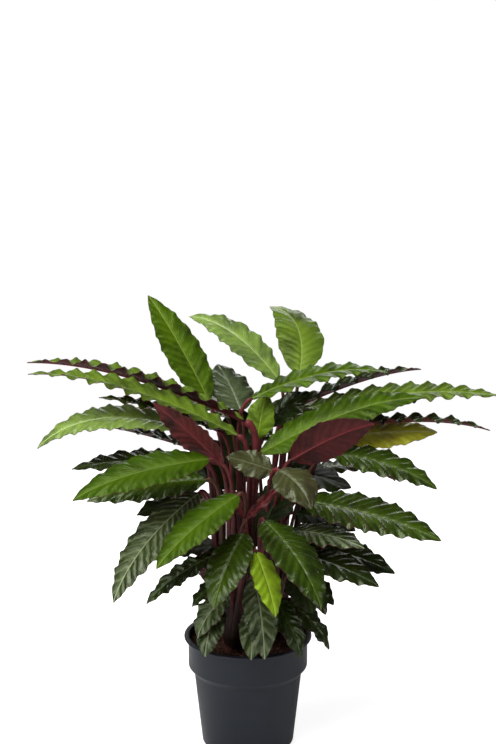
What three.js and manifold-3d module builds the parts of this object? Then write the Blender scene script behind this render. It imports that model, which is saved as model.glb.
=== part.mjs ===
// A potted wavestar calathea: waved leaves on burgundy stalks, potting soil and a plastic nursery pot.
// Millimetres, +Z up. The origin is the centre of the pot's underside, and the front faces -Y.
import * as THREE from "three";
import { mergeVertices } from "three/addons/utils/BufferGeometryUtils.js";
import Module from "manifold-3d";

const wasm = await Module();
wasm.setup();

// Pot
const POT_HEIGHT = 150;
const LIP_RADIUS = 84.5;
const LIP_THICKNESS = 3;
const COLLAR_RADIUS = 79;
const COLLAR_FOOT = 109;
const SHOULDER = 100;
const SHOULDER_RADIUS = 71.5;
const BASE_RADIUS = 61;
const BASE_ROUNDING = 2.5;
const WALL = 1.6;
const DISC_RADIUS = 24;
const FOOT_RADIUS = 51;
const CHANNEL_RISE = 4;
const CHANNEL_SLOPE = 3;
const DRAIN_COUNT = 8;
const DRAIN_RADIUS = 4.5;
const DRAIN_SIDES = 10;
const POT_SIDES = 36;

// Soil
const SOIL_TOP = 139;
const SOIL_LUMP = 1.2;
const SOIL_RINGS = [0.78, 0.52, 0.26, 0];
const SEAT_GAP = 0.3;
const WALL_CLEARANCE = 0.6;

// Crowns: each is the sheathed foot of one shoot, with its leaf stalks grown into it
const CROWN_RADIUS = 12.5;
const CROWN_DEPTH = 26;
const CROWN_SHOULDER = 4;
const CROWN_HEIGHT = 30;
const CROWN_TOP_SHARE = 0.7;
const CROWN_SIDES = 10;
const STALK_RADIUS = 2.7;
const STALK_SIDES = 4;
const STALK_STEPS = 5;
const STALK_RING = 7;
const STALK_UPRIGHT = 0.75;
const STALK_RISE = 0.45;
const STALK_KNEE = 0.12;
const CROWNS = {
  front_left: [-22, -28],
  front_right: [24, -26],
  left: [-36, 16],
  right: [38, 16],
  back: [0, 38],
};

// Leaf blades
const BLADE = 0.9;
const KEEL = 1.5;
const WAVELENGTH = 24;
const SWELL = 3.6;
const WAVE_LEAN = 0.85;
const WAVE_DRIFT = 0.5;
const SCALLOP = 0.05;
const SAG = 0.22;
const ROOT_POWER = 0.62;
const TIP_POWER = 0.85;
const ROOT_HALF = 1.6;
const TIP_HALF = 0.6;
const BLADE_GAP = 0.6;
const INNER_SINK = 2;

// name, crown, blade base [x, y, z], heading, rise, droop, swing, roll, twist, fold, length, width, tone.
// Heading 0 points along +X and 90 along +Y. Angles are in degrees. Droop, swing and twist build up along
// the blade, roll raises its right side, and fold raises both its halves.
const LEAVES = [
  ["top_left", "back", [-51, 35, 459], 142.5, 56, 12, 0, 22, 0, 14, 166, 56, "bright"],
  ["top_middle", "back", [40, 58, 482], 157, 51, 53, 0, 24, 0, 14, 155, 53, "bright"],
  ["top_right", "right", [68, 60, 489], 74, 49, 54, 62, 0, 0, 10, 155, 64, "bright"],
  ["top_inner", "back", [-10, 40, 445], 114, 42, 25, 0, 0, 0, 8, 90, 60, "deep"],
  ["right_arch", "back", [4, 4, 469], 12, 24, 41, 0, -12, 0, 14, 188, 50, "bright"],
  ["right_back_high", "right", [67, 58, 447], 10, 23, 22, 0, 4, 0, 32, 174, 46, "deep"],
  ["right_far_high", "right", [72, 24, 452], -2, 12.8, 23, 0, -14, 0, 14, 260, 53, "green"],
  ["right_lance", "front_right", [16, -24, 404], 4, 30, 30, 0, -32, 8, 12, 225, 60, "bright"],
  ["right_far_thin", "right", [124, 0, 433], 0, 8.5, 26, 0, 0, 0, 32, 190, 34, "deep"],
  ["right_olive", "right", [110, 16, 415], 0, 8.5, 15, 0, -28, 0, 8, 137, 58, "olive"],
  ["right_turned", "front_right", [54, -70, 408], -10, 34, 20, 0, 66, 0, 12, 115, 58, "green"],
  ["right_mid_high", "front_right", [104, -24, 405], -16, -1.5, 35, 0, -18, 0, 12, 146, 58, "green"],
  ["right_mid", "front_right", [67, -44, 347], -18, -2, 23, 0, -18, 0, 12, 186, 75, "green"],
  ["right_low_front", "front_right", [47, -51, 310], -30, 8, 28, 0, -8, 0, 10, 113, 60, "green"],
  ["right_low_back", "right", [63, 0, 277], -14, -4, 25, 0, -22, 0, 10, 136, 58, "deep"],
  ["right_low", "front_right", [54, -52, 284], -22, -6, 25, 0, -18, 0, 10, 124, 56, "deep"],
  ["front_big", "front_right", [20, -84, 334], -54, -18, 45, 0, 0, 0, 12, 145, 66, "green"],
  ["front_inner_right", "right", [52, -14, 258], -44, -26, 40, 0, 0, 0, 12, 90, 50, "deep"],
  ["front_lime", "front_left", [10, -106, 300], -60, -44, 30, 0, 0, 0, 12, 85, 38, "lime"],
  ["front_left", "front_left", [-4, -84, 318], -120, -30, 40, 0, 0, 0, 12, 110, 58, "green"],
  ["front_low", "front_left", [8, -73, 257], -74, -48, 42, 0, 0, 0, 14, 107, 46, "green"],
  ["front_low_right", "front_right", [30, -51, 223], -46, -37, 42, 0, 0, 0, 14, 90, 44, "deep"],
  ["rim_right", "right", [47, -20, 206], -18, -28, 45, 0, -10, 0, 14, 90, 41, "deep"],
  ["rim_left_back", "left", [-33, -22, 231], -172, -24, 40, 0, 10, 0, 14, 53, 38, "deep"],
  ["rim_left", "front_left", [-25, -56, 228], -150, -32, 46, 0, 14, 0, 14, 71, 42, "green"],
  ["rim_front_left", "front_left", [-38, -47, 208], -114, -35, 50, 0, 0, 0, 14, 71, 40, "green"],
  ["rim_front", "front_left", [12, -50, 210], -100, -36, 40, 0, 0, 0, 14, 75, 40, "deep"],
  ["left_far_high", "front_left", [-2, -6, 440], 176, 25.2, 27, 0, -8, 0, 38, 295, 50, "bright"],
  ["left_far", "front_left", [-12, -32, 429], 180, 29.2, 32, 0, 18, -14, 24, 280, 50, "bright"],
  ["left_arch", "front_left", [-38, -24, 434], -174, 25, 20, 0, 6, 0, 20, 158, 40, "green"],
  ["left_broad", "left", [-74, -18, 435], -174, 20, 68, 0, 22, 0, 14, 206, 53, "bright"],
  ["left_thin", "left", [-62, 4, 400], 176, 18, 15, 0, 0, 0, 30, 160, 36, "deep"],
  ["left_turned", "front_left", [-31, -84, 406], 178, 46, 10, 0, -50, 0, 8, 115, 56, "green"],
  ["left_mid_back", "left", [-56, -19, 388], -178, 8, 25, 0, 16, 0, 14, 171, 52, "deep"],
  ["left_mid", "front_left", [-47, -88, 414], -167, -3, 28, 0, 24, 0, 12, 177, 62, "bright"],
  ["left_mid_low", "left", [-52, -40, 374], -172, 0, 22, 0, 28, 0, 12, 155, 56, "deep"],
  ["left_low", "left", [-62, -38, 356], -146.5, -27, 44, 0, 14, 0, 10, 180, 62, "green"],
  ["left_front", "front_left", [-12, -94, 370], -146, -22, 25, 0, 12, 0, 12, 140, 58, "bright"],
  ["left_low_thin", "left", [-42, -16, 266], -174, -24, 30, 0, 28, 0, 12, 113, 33, "deep"],
  ["young_left", "front_right", [32, -64, 392], -176, 22, 10, 0, 50, 0, 10, 62, 38, "olive"],
  ["young_front", "front_right", [38, -80, 398], -48, -10, 60, 0, -15, 0, 8, 72, 56, "olive"],
  ["young_lime", "back", [12, 2, 416], 62, 70, 10, 0, 0, 0, 14, 62, 42, "lime"],
  ["inner_back", "right", [26, 26, 430], 4, 44, 20, 0, -30, 0, 10, 70, 50, "deep"],
  ["back_left_high", "back", [-52, 72, 352], 138, 4, 45, 0, 0, 0, 14, 190, 60, "green"],
  ["back_high", "back", [8, 92, 384], 92, 8, 50, 0, 0, 0, 14, 180, 60, "green"],
  ["back_right_high", "right", [72, 66, 350], 40, 4, 45, 0, 0, 0, 14, 190, 60, "green"],
  ["back_left_mid", "back", [-26, 88, 310], 112, -6, 42, 0, 0, 0, 14, 165, 60, "deep"],
  ["back_right_mid", "right", [46, 84, 306], 68, -6, 42, 0, 0, 0, 14, 165, 60, "deep"],
  ["back_left_low", "left", [-60, 52, 268], 148, -10, 42, 0, 0, 0, 14, 140, 54, "deep"],
  ["back_right_low", "right", [74, 46, 262], 28, -10, 42, 0, 0, 0, 14, 140, 54, "deep"],
  ["back_left_top", "back", [-28, 84, 424], 118, 16, 55, 0, 0, 0, 14, 185, 54, "green"],
  ["back_right_top", "right", [43, 84, 414], 62, 16, 55, 0, 0, 0, 14, 185, 54, "green"],
  ["back_low", "back", [2, 84, 236], 92, -22, 42, 0, 0, 0, 14, 125, 54, "deep"],
];

// Leaves deep inside the plant and the winged sheaths of two stalks: each is grown into its crown's solid.
// Their rows read as above.
const INNER_LEAVES = [
  ["inner_middle", "back", [4, 74, 244], 84, 70, 90, 0, 0, 0, 14, 104, 60, "deep"],
  ["inner_left", "back", [-18, 28, 338], 125, 62, 40, 0, 0, 0, 12, 83, 56, "deep"],
  ["inner_right", "right", [34, 10, 322], 34, 62, 40, 0, 0, 0, 12, 83, 54, "deep"],
  ["inner_back_middle", "back", [-8, 60, 370], 98, 68, 30, 0, 0, 0, 14, 78, 50, "deep"],
  ["inner_left_short", "left", [-66, -16, 348], -177, -12, 20, 0, 20, 0, 12, 83, 36, "deep"],
  ["inner_front", "front_right", [22, -64, 322], 45, 60, 30, 0, 0, 0, 12, 70, 48, "deep"],
  ["inner_right_mid", "right", [60, -2, 318], -8, -5, 25, 0, -20, 0, 12, 84, 42, "deep"],
  ["inner_right_front", "right", [62, 4, 371], -2, -6, 25, 0, -8, 0, 10, 76, 60, "deep"],
  ["inner_left_low", "left", [-33, 8, 270], 178, 0, 40, 0, 0, 0, 14, 60, 50, "deep"],
  ["inner_right_low", "right", [58, 4, 228], -30, -5, 50, 0, 0, 0, 14, 70, 42, "deep"],
  ["inner_front_low", "front_right", [58, -58, 255], -50, -34, 40, 0, 0, 0, 12, 58, 44, "deep"],
  ["inner_left_back", "left", [-42, 36, 348], 165, 38, 40, 0, 0, 0, 12, 83, 50, "deep"],
  ["inner_back_low_left", "left", [-32, 60, 226], 104, -26, 45, 0, 0, 0, 14, 83, 46, "deep"],
  ["inner_back_low_right", "right", [48, 56, 224], 52, -26, 45, 0, 0, 0, 14, 83, 46, "deep"],
  ["sheath_left", "front_left", [-4, -76, 333], 180, 68, 10, 0, 90, 0, 20, 44, 15, "wine"],
  ["sheath_right", "front_left", [-2, -79, 333], -6, 50, 10, 0, -90, 0, 20, 66, 14, "wine"],
];

// Colours from the photograph
const TONES = {
  deep: 0x2c4a1c,
  green: 0x3c6420,
  bright: 0x527f1c,
  lime: 0x7c9c1e,
  olive: 0x5c6a34,
};
const STALK_COLOUR = 0x7a2a34;
const SOIL_COLOUR = 0x4a2c20;
const POT_COLOUR = 0x3c4048;

const radians = THREE.MathUtils.degToRad;

// A closed geometry as a manifold solid.
function toSolid(geometry) {
  const bare = new THREE.BufferGeometry();
  bare.setAttribute("position", geometry.getAttribute("position"));
  if (geometry.index) {
    bare.setIndex(geometry.index);
  }
  const merged = mergeVertices(bare, 1e-4);
  const mesh = new wasm.Mesh({
    numProp: 3,
    vertProperties: new Float32Array(merged.getAttribute("position").array),
    triVerts: new Uint32Array(merged.index.array),
  });
  return new wasm.Manifold(mesh);
}

function toGeometry(solid) {
  const mesh = solid.getMesh();
  const geometry = new THREE.BufferGeometry();
  geometry.setAttribute("position", new THREE.BufferAttribute(mesh.vertProperties, 3));
  geometry.setIndex(new THREE.BufferAttribute(mesh.triVerts, 1));
  geometry.computeVertexNormals();
  return geometry;
}

// A turned solid about +Z from [radius, height] points.
function turned(points, sides) {
  const profile = points.map(([radius, height]) => new THREE.Vector2(radius, height));
  const geometry = new THREE.LatheGeometry(profile, sides);
  geometry.rotateX(Math.PI / 2);
  return geometry;
}

// An upright round bar of the given radius between two heights.
function bar(x, y, radius, low, high, sides) {
  const geometry = turned([[0, low], [radius, low], [radius, high], [0, high]], sides);
  geometry.translate(x, y, 0);
  return geometry;
}

// The pot's wall, from the axis out under the floor, up the outside and back down the inside.
function potGeometry() {
  const chamferLift = 0.3 * WALL;
  const outside = [
    [0, 0],
    [DISC_RADIUS, 0],
    [DISC_RADIUS + CHANNEL_SLOPE, CHANNEL_RISE],
    [FOOT_RADIUS - CHANNEL_SLOPE, CHANNEL_RISE],
    [FOOT_RADIUS, 0],
    [BASE_RADIUS - BASE_ROUNDING, 0],
    [BASE_RADIUS, BASE_ROUNDING],
    [SHOULDER_RADIUS, SHOULDER],
    [COLLAR_RADIUS, COLLAR_FOOT],
    [COLLAR_RADIUS, POT_HEIGHT - LIP_THICKNESS],
    [LIP_RADIUS, POT_HEIGHT - LIP_THICKNESS],
    [LIP_RADIUS, POT_HEIGHT],
  ];
  const inside = [
    [COLLAR_RADIUS - WALL, POT_HEIGHT],
    [COLLAR_RADIUS - WALL, COLLAR_FOOT + chamferLift],
    [SHOULDER_RADIUS - WALL, SHOULDER + chamferLift],
    [BASE_RADIUS - WALL, WALL],
    [FOOT_RADIUS + WALL, WALL],
    [FOOT_RADIUS - CHANNEL_SLOPE + WALL, CHANNEL_RISE + WALL],
    [DISC_RADIUS + CHANNEL_SLOPE - WALL, CHANNEL_RISE + WALL],
    [DISC_RADIUS - WALL, WALL],
    [0, WALL],
  ];
  let pot = toSolid(turned([...outside, ...inside], POT_SIDES));
  const drainRing = (DISC_RADIUS + FOOT_RADIUS) / 2;
  for (let k = 0; k < DRAIN_COUNT; k += 1) {
    const angle = (2 * Math.PI * (k + 0.5)) / DRAIN_COUNT;
    const x = drainRing * Math.cos(angle);
    const y = drainRing * Math.sin(angle);
    pot = pot.subtract(toSolid(bar(x, y, DRAIN_RADIUS, 0, COLLAR_FOOT, DRAIN_SIDES)));
  }
  return toGeometry(pot);
}

// The soil fills the pot from above its floor, with a low uneven top and a plain hole for each crown.
function soilGeometry() {
  const floor = CHANNEL_RISE + WALL + SEAT_GAP;
  const inset = WALL + WALL_CLEARANCE;
  const edge = COLLAR_RADIUS - inset;
  const profile = [
    [0, floor],
    [BASE_RADIUS - inset, floor],
    [SHOULDER_RADIUS - inset, SHOULDER + WALL_CLEARANCE],
    [edge, COLLAR_FOOT + inset],
    [edge, SOIL_TOP],
    ...SOIL_RINGS.map((share) => [edge * share, SOIL_TOP]),
  ];
  const geometry = turned(profile, POT_SIDES / 2);
  const position = geometry.getAttribute("position");
  for (let k = 0; k < position.count; k += 1) {
    const x = position.getX(k);
    const y = position.getY(k);
    if (position.getZ(k) > SOIL_TOP - 0.1) {
      const lump = Math.sin(0.13 * x + 1) * Math.cos(0.11 * y) + 0.5 * Math.sin(0.23 * y - 0.19 * x);
      position.setZ(k, SOIL_TOP + SOIL_LUMP * lump);
    }
  }
  let soil = toSolid(geometry);
  for (const [x, y] of Object.values(CROWNS)) {
    const low = SOIL_TOP - CROWN_DEPTH - SEAT_GAP;
    soil = soil.subtract(toSolid(bar(x, y, CROWN_RADIUS + SEAT_GAP, low, POT_HEIGHT, CROWN_SIDES)));
  }
  return toGeometry(soil);
}

function readLeaf(row, index) {
  const [name, crown, base, heading, rise, droop, swing, roll, twist, fold, length, width, tone] = row;
  const waves = Math.max(3, Math.round(length / WAVELENGTH));
  const bends = { heading, rise, droop, swing, roll, twist, fold };
  return { name, crown, base, ...bends, length, width, tone, waves, index };
}

// The midrib's direction at s, from 0 at the base to 1 at the tip.
function direction(leaf, s) {
  const bend = 0.55 * s + 0.45 * s ** 3;
  const turn = radians(leaf.heading + leaf.swing * s);
  const pitch = radians(leaf.rise - leaf.droop * bend);
  const flat = Math.cos(pitch);
  return new THREE.Vector3(flat * Math.cos(turn), flat * Math.sin(turn), Math.sin(pitch));
}

function midrib(leaf, s) {
  const steps = 16;
  const point = new THREE.Vector3(...leaf.base);
  for (let k = 0; k < steps; k += 1) {
    point.addScaledVector(direction(leaf, ((k + 0.5) / steps) * s), (leaf.length * s) / steps);
  }
  return point;
}

// Unit vectors across the blade, to its right, and out of its upper face.
function acrossBlade(leaf, s) {
  const along = direction(leaf, s);
  const turn = radians(leaf.heading + leaf.swing * s);
  const roll = radians(leaf.roll + leaf.twist * s);
  const level = new THREE.Vector3(Math.sin(turn), -Math.cos(turn), 0);
  const above = level.clone().cross(along);
  const side = level.multiplyScalar(Math.cos(roll)).addScaledVector(above, Math.sin(roll));
  return { side, up: side.clone().cross(along) };
}

// Half the blade's width at s, as a share of its widest half.
function outline(s) {
  const peak = ROOT_POWER / (ROOT_POWER + TIP_POWER);
  const top = peak ** ROOT_POWER * (1 - peak) ** TIP_POWER;
  return (s ** ROOT_POWER * (1 - s) ** TIP_POWER) / top;
}

// A point of the blade's middle surface: u runs from -1 at its left edge to 1 at its right edge.
function surface(leaf, s, u) {
  const { side, up } = acrossBlade(leaf, s);
  const share = outline(s);
  const half = Math.max((share * leaf.width) / 2, s < 0.5 ? ROOT_HALF : TIP_HALF);
  const k = Math.abs(u);
  const right = u > 0 ? 1 : 0;
  const lag = (WAVE_LEAN * (1 - k) * half) / leaf.length;
  const phase = 2 * Math.PI * leaf.waves * (s + lag) + Math.PI * (right + 0.5)
    + WAVE_DRIFT * Math.sin(9 * s + leaf.index + 2 * right);
  const swell = SWELL * Math.min(1, 1.4 * share) * (0.2 * k + 0.8 * k * k);
  const fold = radians(leaf.fold);
  const out = u * half * (Math.cos(fold) + SCALLOP * Math.cos(phase) * k * share);
  const lift = half * (Math.sin(fold) * k - SAG * k * k) + swell * Math.sin(phase);
  const point = midrib(leaf, s).addScaledVector(side, out).addScaledVector(up, lift);
  return { point, up };
}

// One leaf blade: three lines of points along it, edge, midrib and edge, on both faces.
function bladeGeometry(leaf, stations) {
  const positions = [];
  for (let k = 0; k <= stations; k += 1) {
    const s = k / stations;
    for (const u of [-1, 0, 1]) {
      const { point, up } = surface(leaf, s, u);
      const keel = u === 0 ? KEEL * (1 - s) : 0;
      const top = point.clone().addScaledVector(up, BLADE / 2);
      const bottom = point.clone().addScaledVector(up, -BLADE / 2 - keel);
      positions.push(...top.toArray(), ...bottom.toArray());
    }
  }
  const at = (k, column, face) => (k * 3 + column) * 2 + face;
  const triangles = [];
  const quad = (a, b, c, d) => triangles.push(a, b, c, a, c, d);
  for (let k = 0; k < stations; k += 1) {
    quad(at(k, 0, 0), at(k, 1, 0), at(k + 1, 1, 0), at(k + 1, 0, 0));
    quad(at(k, 1, 0), at(k, 2, 0), at(k + 1, 2, 0), at(k + 1, 1, 0));
    triangles.push(at(k, 0, 1), at(k + 1, 1, 1), at(k, 1, 1), at(k, 0, 1), at(k + 1, 0, 1), at(k + 1, 1, 1));
    triangles.push(at(k, 1, 1), at(k + 1, 2, 1), at(k, 2, 1), at(k, 1, 1), at(k + 1, 1, 1), at(k + 1, 2, 1));
    quad(at(k, 0, 1), at(k, 0, 0), at(k + 1, 0, 0), at(k + 1, 0, 1));
    quad(at(k, 2, 0), at(k, 2, 1), at(k + 1, 2, 1), at(k + 1, 2, 0));
  }
  const last = stations;
  for (const column of [0, 1]) {
    quad(at(0, column, 1), at(0, column + 1, 1), at(0, column + 1, 0), at(0, column, 0));
    quad(at(last, column, 0), at(last, column + 1, 0), at(last, column + 1, 1), at(last, column, 1));
  }
  const geometry = new THREE.BufferGeometry();
  geometry.setAttribute("position", new THREE.Float32BufferAttribute(positions, 3));
  geometry.setIndex(triangles);
  geometry.computeVertexNormals();
  return geometry;
}

// A leaf's stalk: it leaves the crown upwards and ends in line with the midrib, short of the blade by the gap.
function stalkGeometry(leaf, gap) {
  const [x, y] = CROWNS[leaf.crown];
  const along = direction(leaf, 0);
  const end = new THREE.Vector3(...leaf.base).addScaledVector(along, -gap);
  const outward = new THREE.Vector3(end.x - x, end.y - y, 0).normalize();
  const root = new THREE.Vector3(x, y, SOIL_TOP - STALK_RING).addScaledVector(outward, STALK_RING);
  const reach = root.distanceTo(end);
  const start = end.clone().sub(root).multiplyScalar((1 - STALK_UPRIGHT) / reach);
  start.z += STALK_UPRIGHT;
  const path = new THREE.CubicBezierCurve3(
    root,
    root.clone().addScaledVector(start, reach * STALK_RISE),
    end.clone().addScaledVector(along, -reach * STALK_KNEE),
    end,
  );
  const section = new THREE.Shape();
  for (let k = 0; k < STALK_SIDES; k += 1) {
    const angle = (2 * Math.PI * k) / STALK_SIDES;
    const point = [STALK_RADIUS * Math.cos(angle), STALK_RADIUS * Math.sin(angle)];
    if (k === 0) {
      section.moveTo(...point);
    } else {
      section.lineTo(...point);
    }
  }
  return new THREE.ExtrudeGeometry(section, { steps: STALK_STEPS, extrudePath: path, bevelEnabled: false });
}

function crownGeometry(name, leaves, innerLeaves) {
  const [x, y] = CROWNS[name];
  const low = SOIL_TOP - CROWN_DEPTH;
  const sheath = turned([
    [0, low],
    [CROWN_RADIUS, low],
    [CROWN_RADIUS, SOIL_TOP + CROWN_SHOULDER],
    [CROWN_RADIUS * CROWN_TOP_SHARE, SOIL_TOP + CROWN_HEIGHT],
    [0, SOIL_TOP + CROWN_HEIGHT],
  ], CROWN_SIDES);
  sheath.translate(x, y, 0);
  let crown = toSolid(sheath);
  for (const leaf of leaves) {
    crown = crown.add(toSolid(stalkGeometry(leaf, BLADE_GAP)));
  }
  for (const leaf of innerLeaves) {
    crown = crown.add(toSolid(stalkGeometry(leaf, -INNER_SINK)));
    crown = crown.add(toSolid(bladeGeometry(leaf, leaf.waves)));
  }
  return toGeometry(crown);
}

function addPiece(plant, name, geometry, color, roughness) {
  const material = new THREE.MeshStandardMaterial({ color, roughness, metalness: 0 });
  const piece = new THREE.Mesh(geometry, material);
  piece.name = name;
  plant.add(piece);
}

const plant = new THREE.Group();
addPiece(plant, "pot", potGeometry(), POT_COLOUR, 0.45);
addPiece(plant, "soil", soilGeometry(), SOIL_COLOUR, 0.95);
const leaves = LEAVES.map(readLeaf);
const innerLeaves = INNER_LEAVES.map(readLeaf);
for (const name of Object.keys(CROWNS)) {
  const own = (leaf) => leaf.crown === name;
  const crown = crownGeometry(name, leaves.filter(own), innerLeaves.filter(own));
  addPiece(plant, `crown_${name}`, crown, STALK_COLOUR, 0.5);
}
for (const leaf of leaves) {
  addPiece(plant, `leaf_${leaf.name}`, bladeGeometry(leaf, 2 * leaf.waves), TONES[leaf.tone], 0.4);
}

export default plant;
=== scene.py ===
# A potted wavestar calathea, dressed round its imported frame: waved glossy leaves with burgundy undersides,
# burgundy stalks with sheathed feet, coarse potting soil and a satin plastic nursery pot.
# Lengths are worked out in millimetres, in the frame's own axes, and meshes are made in metres.
import math
import random

import bpy
import numpy as np
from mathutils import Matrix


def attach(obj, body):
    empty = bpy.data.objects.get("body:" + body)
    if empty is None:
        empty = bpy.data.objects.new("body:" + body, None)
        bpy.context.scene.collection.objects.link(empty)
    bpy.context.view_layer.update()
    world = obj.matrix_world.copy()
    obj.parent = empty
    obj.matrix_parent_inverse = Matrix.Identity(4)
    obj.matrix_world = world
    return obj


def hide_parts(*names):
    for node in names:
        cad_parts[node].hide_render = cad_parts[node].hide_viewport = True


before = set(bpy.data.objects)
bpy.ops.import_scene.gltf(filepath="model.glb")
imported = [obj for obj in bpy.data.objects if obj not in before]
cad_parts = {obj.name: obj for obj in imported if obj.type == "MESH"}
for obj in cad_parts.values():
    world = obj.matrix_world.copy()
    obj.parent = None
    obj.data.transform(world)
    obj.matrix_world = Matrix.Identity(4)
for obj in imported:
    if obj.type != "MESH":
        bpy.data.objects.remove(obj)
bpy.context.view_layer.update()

MM = 0.001

# Pot and soil, with the pot's foot at height 0.
POT_HEIGHT = 150
LIP_RADIUS = 84.5
LIP_THICKNESS = 3
COLLAR_RADIUS = 79
COLLAR_FOOT = 109
SHOULDER = 100
SHOULDER_RADIUS = 71.5
BASE_RADIUS = 61
BASE_ROUNDING = 2.5
WALL = 1.6
DISC_RADIUS = 24
FOOT_RADIUS = 51
CHANNEL_RISE = 4
CHANNEL_SLOPE = 3
DRAIN_COUNT = 8
DRAIN_RADIUS = 4.5
SOIL_TOP = 139

# The crowns' sheathed feet, and how the stalks start there and bend to their blades.
CROWN_RADIUS = 12.5
CROWN_HEIGHT = 30
STALK_RING = 7
STALK_UPRIGHT = 0.75
STALK_RISE = 0.45
STALK_KNEE = 0.12
BLADE_GAP = 0.6
CROWNS = {
    "front_left": [-22, -28],
    "front_right": [24, -26],
    "left": [-36, 16],
    "right": [38, 16],
    "back": [0, 38],
}

# A blade's edge wave: its length and height, how far it leans along the blade and drifts in rhythm,
# and how much it draws the edge in and out.
WAVELENGTH = 24
SWELL = 3.6
WAVE_LEAN = 0.85
WAVE_DRIFT = 0.5
SCALLOP = 0.05
# How far each half of a blade sags, its outline's shape at root and tip, and its least half widths there.
SAG = 0.22
ROOT_POWER = 0.62
TIP_POWER = 0.85
ROOT_HALF = 1.6
TIP_HALF = 0.6
# How deep the midrib stands out below the blade at its root.
KEEL = 1.5
# A blade droops evenly by the first share and more and more towards its tip by the second.
EVEN_DROOP = 0.55
LATE_DROOP = 0.45
MIDRIB_STEPS = 16

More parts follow.
